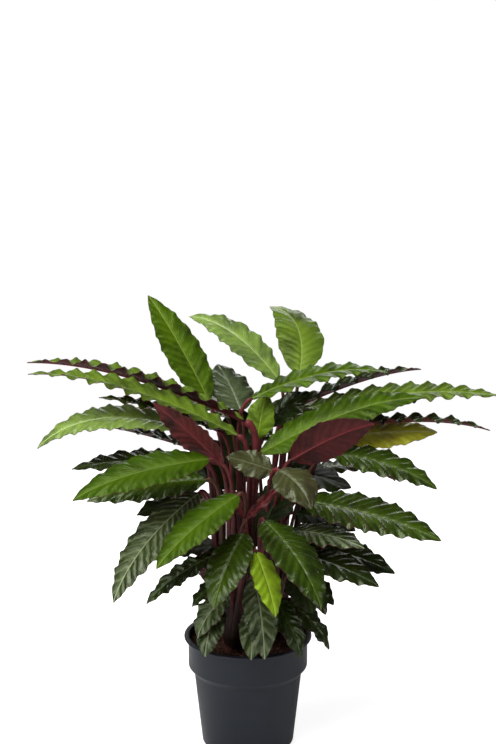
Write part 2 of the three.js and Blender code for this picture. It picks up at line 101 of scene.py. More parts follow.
# name, crown, blade base [x, y, z], heading, rise, droop, swing, roll, twist, fold, length, width, tone.
# Heading 0 points along +X and 90 along +Y. Angles are in degrees. Droop, swing and twist build up along
# the blade, roll raises its right side, and fold raises both its halves.
LEAVES = [
    ["top_left", "back", [-51, 35, 459], 142.5, 56, 12, 0, 22, 0, 14, 166, 56, "bright"],
    ["top_middle", "back", [40, 58, 482], 157, 51, 53, 0, 24, 0, 14, 155, 53, "bright"],
    ["top_right", "right", [68, 60, 489], 74, 49, 54, 62, 0, 0, 10, 155, 64, "bright"],
    ["top_inner", "back", [-10, 40, 445], 114, 42, 25, 0, 0, 0, 8, 90, 60, "deep"],
    ["right_arch", "back", [4, 4, 469], 12, 24, 41, 0, -12, 0, 14, 188, 50, "bright"],
    ["right_back_high", "right", [67, 58, 447], 10, 23, 22, 0, 4, 0, 32, 174, 46, "deep"],
    ["right_far_high", "right", [72, 24, 452], -2, 12.8, 23, 0, -14, 0, 14, 260, 53, "green"],
    ["right_lance", "front_right", [16, -24, 404], 4, 30, 30, 0, -32, 8, 12, 225, 60, "bright"],
    ["right_far_thin", "right", [124, 0, 433], 0, 8.5, 26, 0, 0, 0, 32, 190, 34, "deep"],
    ["right_olive", "right", [110, 16, 415], 0, 8.5, 15, 0, -28, 0, 8, 137, 58, "olive"],
    ["right_turned", "front_right", [54, -70, 408], -10, 34, 20, 0, 66, 0, 12, 115, 58, "green"],
    ["right_mid_high", "front_right", [104, -24, 405], -16, -1.5, 35, 0, -18, 0, 12, 146, 58, "green"],
    ["right_mid", "front_right", [67, -44, 347], -18, -2, 23, 0, -18, 0, 12, 186, 75, "green"],
    ["right_low_front", "front_right", [47, -51, 310], -30, 8, 28, 0, -8, 0, 10, 113, 60, "green"],
    ["right_low_back", "right", [63, 0, 277], -14, -4, 25, 0, -22, 0, 10, 136, 58, "deep"],
    ["right_low", "front_right", [54, -52, 284], -22, -6, 25, 0, -18, 0, 10, 124, 56, "deep"],
    ["front_big", "front_right", [20, -84, 334], -54, -18, 45, 0, 0, 0, 12, 145, 66, "green"],
    ["front_inner_right", "right", [52, -14, 258], -44, -26, 40, 0, 0, 0, 12, 90, 50, "deep"],
    ["front_lime", "front_left", [10, -106, 300], -60, -44, 30, 0, 0, 0, 12, 85, 38, "lime"],
    ["front_left", "front_left", [-4, -84, 318], -120, -30, 40, 0, 0, 0, 12, 110, 58, "green"],
    ["front_low", "front_left", [8, -73, 257], -74, -48, 42, 0, 0, 0, 14, 107, 46, "green"],
    ["front_low_right", "front_right", [30, -51, 223], -46, -37, 42, 0, 0, 0, 14, 90, 44, "deep"],
    ["rim_right", "right", [47, -20, 206], -18, -28, 45, 0, -10, 0, 14, 90, 41, "deep"],
    ["rim_left_back", "left", [-33, -22, 231], -172, -24, 40, 0, 10, 0, 14, 53, 38, "deep"],
    ["rim_left", "front_left", [-25, -56, 228], -150, -32, 46, 0, 14, 0, 14, 71, 42, "green"],
    ["rim_front_left", "front_left", [-38, -47, 208], -114, -35, 50, 0, 0, 0, 14, 71, 40, "green"],
    ["rim_front", "front_left", [12, -50, 210], -100, -36, 40, 0, 0, 0, 14, 75, 40, "deep"],
    ["left_far_high", "front_left", [-2, -6, 440], 176, 25.2, 27, 0, -8, 0, 38, 295, 50, "bright"],
    ["left_far", "front_left", [-12, -32, 429], 180, 29.2, 32, 0, 18, -14, 24, 280, 50, "bright"],
    ["left_arch", "front_left", [-38, -24, 434], -174, 25, 20, 0, 6, 0, 20, 158, 40, "green"],
    ["left_broad", "left", [-74, -18, 435], -174, 20, 68, 0, 22, 0, 14, 206, 53, "bright"],
    ["left_thin", "left", [-62, 4, 400], 176, 18, 15, 0, 0, 0, 30, 160, 36, "deep"],
    ["left_turned", "front_left", [-31, -84, 406], 178, 46, 10, 0, -50, 0, 8, 115, 56, "green"],
    ["left_mid_back", "left", [-56, -19, 388], -178, 8, 25, 0, 16, 0, 14, 171, 52, "deep"],
    ["left_mid", "front_left", [-47, -88, 414], -167, -3, 28, 0, 24, 0, 12, 177, 62, "bright"],
    ["left_mid_low", "left", [-52, -40, 374], -172, 0, 22, 0, 28, 0, 12, 155, 56, "deep"],
    ["left_low", "left", [-62, -38, 356], -146.5, -27, 44, 0, 14, 0, 10, 180, 62, "green"],
    ["left_front", "front_left", [-12, -94, 370], -146, -22, 25, 0, 12, 0, 12, 140, 58, "bright"],
    ["left_low_thin", "left", [-42, -16, 266], -174, -24, 30, 0, 28, 0, 12, 113, 33, "deep"],
    ["young_left", "front_right", [32, -64, 392], -176, 22, 10, 0, 50, 0, 10, 62, 38, "olive"],
    ["young_front", "front_right", [38, -80, 398], -48, -10, 60, 0, -15, 0, 8, 72, 56, "olive"],
    ["young_lime", "back", [12, 2, 416], 62, 70, 10, 0, 0, 0, 14, 62, 42, "lime"],
    ["inner_back", "right", [26, 26, 430], 4, 44, 20, 0, -30, 0, 10, 70, 50, "deep"],
    ["back_left_high", "back", [-52, 72, 352], 138, 4, 45, 0, 0, 0, 14, 190, 60, "green"],
    ["back_high", "back", [8, 92, 384], 92, 8, 50, 0, 0, 0, 14, 180, 60, "green"],
    ["back_right_high", "right", [72, 66, 350], 40, 4, 45, 0, 0, 0, 14, 190, 60, "green"],
    ["back_left_mid", "back", [-26, 88, 310], 112, -6, 42, 0, 0, 0, 14, 165, 60, "deep"],
    ["back_right_mid", "right", [46, 84, 306], 68, -6, 42, 0, 0, 0, 14, 165, 60, "deep"],
    ["back_left_low", "left", [-60, 52, 268], 148, -10, 42, 0, 0, 0, 14, 140, 54, "deep"],
    ["back_right_low", "right", [74, 46, 262], 28, -10, 42, 0, 0, 0, 14, 140, 54, "deep"],
    ["back_left_top", "back", [-28, 84, 424], 118, 16, 55, 0, 0, 0, 14, 185, 54, "green"],
    ["back_right_top", "right", [43, 84, 414], 62, 16, 55, 0, 0, 0, 14, 185, 54, "green"],
    ["back_low", "back", [2, 84, 236], 92, -22, 42, 0, 0, 0, 14, 125, 54, "deep"],
]
# Leaves deep inside the plant and the winged sheaths of two stalks, grown into their crowns.
INNER_LEAVES = [
    ["inner_middle", "back", [4, 74, 244], 84, 70, 90, 0, 0, 0, 14, 104, 60, "deep"],
    ["inner_left", "back", [-18, 28, 338], 125, 62, 40, 0, 0, 0, 12, 83, 56, "deep"],
    ["inner_right", "right", [34, 10, 322], 34, 62, 40, 0, 0, 0, 12, 83, 54, "deep"],
    ["inner_back_middle", "back", [-8, 60, 370], 98, 68, 30, 0, 0, 0, 14, 78, 50, "deep"],
    ["inner_left_short", "left", [-66, -16, 348], -177, -12, 20, 0, 20, 0, 12, 83, 36, "deep"],
    ["inner_front", "front_right", [22, -64, 322], 45, 60, 30, 0, 0, 0, 12, 70, 48, "deep"],
    ["inner_right_mid", "right", [60, -2, 318], -8, -5, 25, 0, -20, 0, 12, 84, 42, "deep"],
    ["inner_right_front", "right", [62, 4, 371], -2, -6, 25, 0, -8, 0, 10, 76, 60, "deep"],
    ["inner_left_low", "left", [-33, 8, 270], 178, 0, 40, 0, 0, 0, 14, 60, 50, "deep"],
    ["inner_right_low", "right", [58, 4, 228], -30, -5, 50, 0, 0, 0, 14, 70, 42, "deep"],
    ["inner_front_low", "front_right", [58, -58, 255], -50, -34, 40, 0, 0, 0, 12, 58, 44, "deep"],
    ["inner_left_back", "left", [-42, 36, 348], 165, 38, 40, 0, 0, 0, 12, 83, 50, "deep"],
    ["inner_back_low_left", "left", [-32, 60, 226], 104, -26, 45, 0, 0, 0, 14, 83, 46, "deep"],
    ["inner_back_low_right", "right", [48, 56, 224], 52, -26, 45, 0, 0, 0, 14, 83, 46, "deep"],
    ["sheath_left", "front_left", [-4, -76, 333], 180, 68, 10, 0, 90, 0, 20, 44, 15, "wine"],
    ["sheath_right", "front_left", [-2, -79, 333], -6, 50, 10, 0, -90, 0, 20, 66, 14, "wine"],
]


class Leaf:
    def __init__(self, row, index):
        self.name, self.crown, self.base = row[:3]
        self.heading, self.rise, self.droop, self.swing, self.roll, self.twist, self.fold = row[3:10]
        self.length, self.width, self.tone = row[10:]
        self.index = index
        # Halves round up, as the frame's own source rounds them.
        self.waves = max(3, math.floor(self.length / WAVELENGTH + 0.5))

    # The heading at s, from 0 at the base to 1 at the tip.
    def turn(self, s):
        return np.radians(self.heading + self.swing * s)

    # The midrib's direction at s.
    def direction(self, s):
        bend = EVEN_DROOP * s + LATE_DROOP * s**3
        pitch = np.radians(self.rise - self.droop * bend)
        flat = np.cos(pitch)
        return np.stack([flat * np.cos(self.turn(s)), flat * np.sin(self.turn(s)), np.sin(pitch)], -1)

    # The midrib's point at s, walked from the base in short steps.
    def midrib(self, s):
        point = np.zeros(s.shape + (3,)) + np.array(self.base, float)
        for k in range(MIDRIB_STEPS):
            middle = self.direction((k + 0.5) / MIDRIB_STEPS * s)
            point = point + middle * (self.length * s / MIDRIB_STEPS)[..., None]
        return point

    # Unit vectors across the blade, to its right, and out of its upper face.
    def across(self, s):
        along = self.direction(s)
        roll = np.radians(self.roll + self.twist * s)[..., None]
        level = np.stack([np.sin(self.turn(s)), -np.cos(self.turn(s)), 0 * s], -1)
        above = np.cross(level, along)
        side = level * np.cos(roll) + above * np.sin(roll)
        return side, np.cross(side, along)


# A blade's width at s, as a share of its widest.
def outline(s):
    peak = ROOT_POWER / (ROOT_POWER + TIP_POWER)
    top = peak**ROOT_POWER * (1 - peak) ** TIP_POWER
    return s**ROOT_POWER * (1 - s) ** TIP_POWER / top


# Runs smoothly from 0 at low to 1 at high.
def smooth(low, high, x):
    t = np.clip((x - low) / (high - low), 0, 1)
    return t * t * (3 - 2 * t)


# Meshes


# An object from points in millimetres, with a material slot for each face and named values for each point.
def new_object(name, verts, faces, materials, smooth_angle=None, face_slots=None, attributes=None):
    mesh = bpy.data.meshes.new(name)
    mesh.from_pydata((np.asarray(verts, float) * MM).tolist(), [], faces)
    for material in materials:
        mesh.materials.append(material)
    if face_slots is not None:
        mesh.polygons.foreach_set("material_index", np.asarray(face_slots, np.int32))
    for key, values in (attributes or {}).items():
        attribute = mesh.attributes.new(key, "FLOAT", "POINT")
        attribute.data.foreach_set("value", np.asarray(values, np.float32))
    if smooth_angle is not None:
        mesh.polygons.foreach_set("use_smooth", np.ones(len(mesh.polygons), bool))
        mesh.set_sharp_from_angle(angle=math.radians(smooth_angle))
    mesh.update()
    obj = bpy.data.objects.new(name, mesh)
    bpy.context.scene.collection.objects.link(obj)
    return obj


# The faces of a grid of points, which is closed into a tube if wanted.
def grid_faces(rows, columns, offset=0, flip=False, closed=False):
    faces = []
    for r in range(rows - 1):
        for c in range(columns if closed else columns - 1):
            d = (c + 1) % columns
            quad = [r * columns + c, r * columns + d, (r + 1) * columns + d, (r + 1) * columns + c]
            quad = [offset + k for k in quad]
            faces.append(quad[::-1] if flip else quad)
    return faces


# The faces that join two grids round their edges. The second grid starts at point number count.
def rim_faces(rows, columns, count, flip=False):
    rim = [r * columns for r in range(rows)]
    rim += [(rows - 1) * columns + c for c in range(1, columns)]
    rim += [r * columns + columns - 1 for r in range(rows - 2, -1, -1)]
    rim += list(range(columns - 2, 0, -1))
    pairs = zip(rim, rim[1:] + rim[:1])
    return [[b, a, count + a, count + b] if flip else [a, b, count + b, count + a] for a, b in pairs]


# Materials


# A new material and short ways to add its nodes.
class Nodes:
    def __init__(self, name):
        self.material = bpy.data.materials.new(name)
        self.material.use_nodes = True
        self.tree = self.material.node_tree
        self.shader = self.tree.nodes["Principled BSDF"]

    def add(self, kind, **values):
        node = self.tree.nodes.new(kind)
        for key, value in values.items():
            setattr(node, key, value)
        return node

    def link(self, source, target):
        self.tree.links.new(source, target)

    # Sets a number or colour on a socket, or links another node's output to it.
    def feed(self, socket, value):
        if isinstance(value, (int, float)):
            socket.default_value = value
        elif isinstance(value, (tuple, list)):
            socket.default_value = (*value, 1) if len(value) == 3 and socket.type == "RGBA" else value
        else:
            self.link(value, socket)

    def math(self, operation, *inputs):
        node = self.add("ShaderNodeMath", operation=operation)
        for socket, value in zip(node.inputs, inputs):
            self.feed(socket, value)
        return node.outputs[0]

    def attribute(self, name):
        return self.add("ShaderNodeAttribute", attribute_name=name).outputs["Fac"]

    def ramp(self, value, low, high, at_low=0, at_high=1):
        node = self.add("ShaderNodeMapRange", interpolation_type="SMOOTHSTEP")
        for socket, given in zip(node.inputs, (value, low, high, at_low, at_high)):
            self.feed(socket, given)
        return node.outputs[0]

    # Inputs 6 and 7 and output 2 are the mix node's colours.
    def mix(self, factor, a, b, blend="MIX"):
        node = self.add("ShaderNodeMix", data_type="RGBA", blend_type=blend)
        for socket, value in zip((node.inputs[0], node.inputs[6], node.inputs[7]), (factor, a, b)):
            self.feed(socket, value)
        return node.outputs[2]

    def noise(self, scale, detail=3, roughness=0.5, distortion=0, vector=None):
        node = self.add("ShaderNodeTexNoise")
        if vector is None:
            vector = self.add("ShaderNodeTexCoord").outputs["Object"]
        self.link(vector, node.inputs["Vector"])
        settings = {"Scale": scale, "Detail": detail, "Roughness": roughness, "Distortion": distortion}
        for key, value in settings.items():
            node.inputs[key].default_value = value
        return node.outputs["Fac"]

    def bump(self, height, strength, distance, below=None):
        node = self.add("ShaderNodeBump")
        node.inputs["Strength"].default_value = strength
        node.inputs["Distance"].default_value = distance
        self.link(height, node.inputs["Height"])
        if below is not None:
            self.link(below, node.inputs["Normal"])
        return node.outputs["Normal"]

    def finish(self, colour, roughness, normal=None, **sockets):
        self.feed(self.shader.inputs["Base Color"], colour)
        self.feed(self.shader.inputs["Roughness"], roughness)
        if normal is not None:
            self.link(normal, self.shader.inputs["Normal"])
        for key, value in sockets.items():
            self.feed(self.shader.inputs[key.replace("_", " ")], value)
        return self.material


# Linear colours: the blade's body, its brighter middle, its veins, and its darkest parts.
TONES = {
    "deep": [(0.020, 0.034, 0.005), (0.029, 0.054, 0.005), (0.065, 0.100, 0.028), (0.009, 0.013, 0.004)],
    # The inner tone is the deep one darkened by about a third: painted shade for the leaves deep inside the
    # plant.
    "inner": [(0.013, 0.022, 0.003), (0.018, 0.033, 0.003), (0.040, 0.060, 0.015), (0.007, 0.009, 0.002)],
    "green": [(0.029, 0.056, 0.003), (0.048, 0.090, 0.003), (0.100, 0.155, 0.024), (0.013, 0.021, 0.003)],
    # Partly the leaves' own yellow-green, partly painted light shining through the blades.
    "bright": [(0.046, 0.096, 0.002), (0.072, 0.138, 0.002), (0.150, 0.225, 0.030), (0.020, 0.038, 0.003)],
    # Partly the leaves' own yellow-green, partly painted light shining through the blades.
    "fresh_lit_through": [(0.092, 0.155, 0.012), (0.130, 0.208, 0.014), (0.23, 0.31, 0.07), (0.044, 0.068, 0.009)],
    "tender": [(0.130, 0.225, 0.012), (0.170, 0.290, 0.014), (0.27, 0.38, 0.05), (0.065, 0.105, 0.008)],
    # A paler, greyer green: partly the leaves' own colour, partly painted sheen standing for a hazy gloss.
    "pale": [(0.190, 0.290, 0.055), (0.240, 0.365, 0.055), (0.38, 0.50, 0.17), (0.098, 0.150, 0.035)],
    # A greyer green with pale grey veins: partly the low front leaves' own colour, partly painted sheen
    # standing for their hazy gloss.
    "painted_sheen": [(0.046, 0.068, 0.018), (0.064, 0.096, 0.022), (0.30, 0.35, 0.20), (0.018, 0.026, 0.008)],
    "sap": [(0.034, 0.076, 0.001), (0.052, 0.108, 0.001), (0.100, 0.160, 0.016), (0.018, 0.038, 0.001)],
    # Partly the leaves' own yellow-green, partly painted light shining through the blades.
    "lime": [(0.27, 0.43, 0.016), (0.34, 0.53, 0.020), (0.44, 0.60, 0.07), (0.15, 0.23, 0.012)],
    "olive": [(0.058, 0.062, 0.020), (0.072, 0.078, 0.024), (0.13, 0.13, 0.07), (0.040, 0.032, 0.015)],
    # A bright yellow olive: painted light shining through the blade from behind.
    "backlit_olive": [(0.50, 0.50, 0.034), (0.58, 0.59, 0.040), (0.66, 0.66, 0.16), (0.26, 0.20, 0.034)],
    "sage": [(0.070, 0.095, 0.040), (0.095, 0.130, 0.052), (0.21, 0.25, 0.15), (0.035, 0.045, 0.022)],
}
# Leaves whose finish isn't quite their tone's.
FINISHES = {
    # right_olive is painted brighter, as lit through from behind.
    "right_olive": "backlit_olive",
    "top_inner": "sage",
    # top_middle and left_broad take the paler tone, partly painted sheen.
    "top_middle": "pale",
    # top_right and the long left and right leaves take a tone with painted light shining through them.
    "top_right": "fresh_lit_through",
    "left_broad": "pale",
    "left_front": "sap",
    "left_mid": "sap",
    "left_mid_low": "green",
    "left_far": "fresh_lit_through",
    # These low front leaves take the greyer tone with painted sheen and painted highlights on their ridges.
    "left_low": "painted_sheen",
    "rim_left": "painted_sheen",
    "rim_front_left": "painted_sheen",
    "front_low": "painted_sheen",
    "rim_front": "painted_sheen",
    "right_low_front": "painted_sheen",
    "left_turned": "sap",
    "young_lime": "tender",
    "left_far_high": "fresh_lit_through",
    "right_far_high": "fresh_lit_through",
}
# Linear colours of the undersides, stalks, bracts, soil and pot. The two shades darken some blades more
# than others.
UNDER = (0.105, 0.013, 0.013)
UNDER_DARK = (0.028, 0.006, 0.006)
UNDER_RIB = (0.17, 0.020, 0.024)
UNDER_BRIGHTENING = 1.25
UNDER_EDGE = 0.75
UPPER_SHADE = (0.55, 0.62, 0.6)
UNDER_SHADE = (0.6, 0.6, 0.65)
STALK = (0.150, 0.022, 0.026)
STALK_DARK = (0.065, 0.014, 0.014)
STALK_OLIVE = (0.075, 0.055, 0.018)
# The stalks' feet darken to a dark brown: painted shade under the foliage.
STALK_FOOT_SHADE = (0.022, 0.009, 0.006)
BRACT = (0.13, 0.035, 0.022)
BRACT_DARK = (0.045, 0.016, 0.012)
BRACT_DRY = (0.18, 0.10, 0.045)
SOIL_DARK = (0.022, 0.013, 0.009)
SOIL_BROWN = (0.120, 0.062, 0.040)
SOIL_PALE = (0.19, 0.095, 0.058)
CRUMB_DARK = (0.060, 0.030, 0.020)
CRUMB_PALE = (0.32, 0.155, 0.095)
CRUMB_PORE = (0.018, 0.009, 0.006)
POT_DARK = (0.007, 0.0105, 0.017)
POT_PALE = (0.011, 0.015, 0.023)
FLOOR_WHITE = (0.9, 0.9, 0.9)
VEINS_PER_WAVE = 2
HAIRS_PER_VEIN = 4
# Depths of the finest relief, in metres.
HAIR_DEPTH = 0.0003
STALK_GRAIN = 0.0004
FIBRE_DEPTH = 0.0006
SOIL_GRAIN = 0.0012
CRUMB_GRAIN = 0.0006
POT_GRAIN = 0.0003
# How much paler the ridges between veins are, and how much darker the veins' troughs.
STREAKS = (0.16, 0.22)
# The low front leaves' tone takes far stronger streaks: painted highlights on its ridges and painted shade
# between them.
PAINTED_SHEEN_STREAKS = (0.4, 0.5)
# The finishes with a softer, greener gloss, and those with a brighter underside.
SOFT_GLOSS = ("bright", "fresh_lit_through", "tender", "sap", "lime", "backlit_olive")
BRIGHT_UNDER = ("lime", "olive", "sap")


# A blade's upper side. Its vein pattern follows the phase of the edge's wave.
def upper_material(tone):
    body, middle, vein, dark = TONES[tone]
    n = Nodes("leaf_top_" + tone)
    across, rib, edge = n.attribute("across"), n.attribute("rib"), n.attribute("edge")
    beat, shade = n.attribute("beat"), n.attribute("shade")
    # Ridges between the side veins, a little uneven, and fine hairlines on them.
    wobble = n.math("MULTIPLY", n.noise(120, 2), 0.35)
    phase = n.math("MULTIPLY", n.math("ADD", beat, wobble), 2 * math.pi)
    ridge = n.math("SINE", n.math("MULTIPLY", phase, VEINS_PER_WAVE))
    hair = n.math("SINE", n.math("MULTIPLY", phase, VEINS_PER_WAVE * HAIRS_PER_VEIN))
    # Brighter beside the midrib, with darker patches.
    patch = n.noise(22, 4, 0.6)
    colour = n.mix(n.ramp(across, 0.05, 0.8), middle, body)
    colour = n.mix(n.ramp(patch, 0.42, 0.7), colour, dark)
    # Pale and dark streaks along the ridges, a pale midrib and a dark rim. On the low front leaves the
    # streaks are much stronger: painted highlights on the ridges and painted shade between them.
    light, dim = PAINTED_SHEEN_STREAKS if tone == "painted_sheen" else STREAKS
    colour = n.mix(n.math("MULTIPLY", n.ramp(ridge, 0.1, 0.95), light), colour, vein)
    colour = n.mix(n.math("MULTIPLY", n.ramp(ridge, -0.5, -1.0), dim), colour, dark)
    colour = n.mix(n.ramp(rib, 1.3, 0.5), colour, vein)
    colour = n.mix(n.math("MULTIPLY", n.ramp(edge, 0.9, 0.2), 0.5), colour, UNDER_DARK)
    shaded = n.mix(1.0, colour, UPPER_SHADE, "MULTIPLY")
    colour = n.mix(n.math("MULTIPLY", shade, 0.5), colour, shaded)
    normal = n.bump(hair, 0.18, HAIR_DEPTH)
    normal = n.bump(n.noise(900, 2), 0.05, HAIR_DEPTH, normal)
    # The inner tone's darker colour is painted shade, and its gloss is low.
    if tone == "inner":
        return n.finish(colour, 0.5, normal, Specular_IOR_Level=0.12)
    if tone in SOFT_GLOSS:
        roughness = n.ramp(n.noise(60, 3), 0.3, 0.75, 0.27, 0.42)
        return n.finish(colour, roughness, normal, Specular_IOR_Level=0.26, Specular_Tint=(0.75, 1.0, 0.30))
    roughness = n.ramp(n.noise(60, 3), 0.3, 0.75, 0.19, 0.32)
    return n.finish(colour, roughness, normal, Specular_IOR_Level=0.42, Specular_Tint=(0.90, 1.0, 0.75))


# A blade's burgundy underside, with the same veins.
def under_material(tone):
    n = Nodes("leaf_under_" + tone)
    across, rib = n.attribute("across"), n.attribute("rib")
    beat, shade = n.attribute("beat"), n.attribute("shade")
    phase = n.math("MULTIPLY", beat, 2 * math.pi)
    ridge = n.math("SINE", n.math("MULTIPLY", phase, VEINS_PER_WAVE))
    hair = n.math("SINE", n.math("MULTIPLY", phase, VEINS_PER_WAVE * HAIRS_PER_VEIN))
    body = tuple(c * UNDER_BRIGHTENING for c in UNDER) if tone in BRIGHT_UNDER else UNDER
    colour = n.mix(n.ramp(across, 0.0, 0.9), body, tuple(c * UNDER_EDGE for c in body))
    colour = n.mix(n.ramp(n.noise(30, 4, 0.6), 0.45, 0.75), colour, UNDER_DARK)
    colour = n.mix(n.math("MULTIPLY", n.ramp(ridge, 0.2, 1.0), 0.15), colour, UNDER_DARK)
    colour = n.mix(n.ramp(rib, 1.6, 0.8), colour, UNDER_RIB)
    shaded = n.mix(1.0, colour, UNDER_SHADE, "MULTIPLY")
    colour = n.mix(n.math("MULTIPLY", shade, 0.4), colour, shaded)
    normal = n.bump(hair, 0.2, HAIR_DEPTH)
    return n.finish(colour, 0.52, normal, Sheen_Weight=0.06, Sheen_Roughness=0.5, Specular_IOR_Level=0.2)


def stalk_material():
    n = Nodes("stalk")
    height, shade = n.attribute("height"), n.attribute("shade")
    streak = n.noise(70, 4, 0.6)
    colour = n.mix(n.ramp(streak, 0.35, 0.7), STALK, STALK_DARK)
    colour = n.mix(n.math("MULTIPLY", n.ramp(shade, 0.55, 1.0), 0.6), colour, STALK_OLIVE)
    # Painted shade: the stalks darken towards their feet, under the leaves.
    colour = n.mix(n.ramp(height, 0.75, 0.2), colour, STALK_FOOT_SHADE)
    normal = n.bump(n.noise(300, 3), 0.25, STALK_GRAIN)
    return n.finish(colour, 0.48, normal, Specular_IOR_Level=0.22)


def bract_material():
    n = Nodes("sheath")
    height = n.attribute("height")
    fibre = n.noise(160, 5, 0.7)
    colour = n.mix(n.ramp(fibre, 0.3, 0.7), BRACT, BRACT_DARK)
    colour = n.mix(n.ramp(height, 0.6, 1.0), colour, BRACT_DRY)
    return n.finish(colour, 0.62, n.bump(fibre, 0.5, FIBRE_DEPTH))


def soil_material():
    n = Nodes("soil")
    grain = n.noise(260, 6, 0.65)
    clump = n.noise(55, 4, 0.6)
    colour = n.mix(n.ramp(grain, 0.35, 0.65), SOIL_DARK, SOIL_BROWN)
    colour = n.mix(n.ramp(clump, 0.5, 0.72), colour, SOIL_PALE)
    normal = n.bump(grain, 0.9, SOIL_GRAIN)
    return n.finish(colour, 0.93, normal, Specular_IOR_Level=0.2)


def crumb_material():
    n = Nodes("soil_crumb")
    shade = n.attribute("shade")
    grain = n.noise(420, 5, 0.7)
    colour = n.mix(shade, CRUMB_DARK, CRUMB_PALE)
    colour = n.mix(n.math("MULTIPLY", n.ramp(grain, 0.45, 0.7), 0.6), colour, CRUMB_PORE)
    return n.finish(colour, 0.85, n.bump(grain, 0.7, CRUMB_GRAIN), Specular_IOR_Level=0.25)


def pot_material():
    n = Nodes("pot")
    smudge = n.noise(14, 5, 0.6)
    fine = n.noise(700, 3, 0.6)
    colour = n.mix(n.ramp(smudge, 0.35, 0.75), POT_DARK, POT_PALE)
    roughness = n.ramp(smudge, 0.3, 0.75, 0.34, 0.48)
    normal = n.bump(fine, 0.10, POT_GRAIN)
    return n.finish(colour, roughness, normal, Specular_IOR_Level=0.3)


# The blades' fine shape

STATION = 1.8
LEAST_ROWS = 40
COLUMNS = 10
# Columns crowd towards the midrib by this power.
CROWDING = 1.45
HALF_THICK = 0.28
# The groove along the midrib's upper side, and the keel below it.
GROOVE = 0.7
GROOVE_WIDTH = 1.5
GROOVE_FADE = 4
KEEL_TIP = 0.5
KEEL_WIDTH = 2.6
# The edge's wave grows from the midrib evenly by the first share and late by the second.
EVEN_SWELL = 0.2
LATE_SWELL = 0.8
DRIFT_TURNS = 9
# A blade takes its whole wave where its width is at least 1 / FILL of its widest.
FILL = 1.4
CREST_LEAN = 0.35
# The height of the ridges between side veins, which is low on the brightest leaves.
RIDGE = 0.75
LOW_RIDGE = 0.42
RIDGE_AT_EDGE = 0.25
RUFFLE = 0.8
RUFFLES_PER_WAVE = 2.37
RUFFLE_SHIFT = 0.3
BLADE_SMOOTHING = 50
# The leaves deep inside spread a little wider than their solids.
INNER_WIDEN = 1.3
# How much of the full wave a blade's edge takes, where that isn't WAVE.
WAVE = 0.7
WAVES = {
    "left_front": 0.35,
    "left_mid": 0.4,
    "left_broad": 0.5,
    "right_lance": 0.4,
    "front_big": 0.5,
    "front_left": 0.5,
    "front_lime": 0.45,
    "top_left": 0.5,
    "top_middle": 0.6,
    "top_right": 0.5,
    "right_turned": 0.25,
    "left_turned": 0.35,
    "right_olive": 0.4,
    "young_front": 0.4,
    "left_far_high": 1.15,
    "left_far": 1.0,
    "right_far_thin": 1.0,
    "right_back_high": 1.0,
    "right_far_high": 0.9,
}


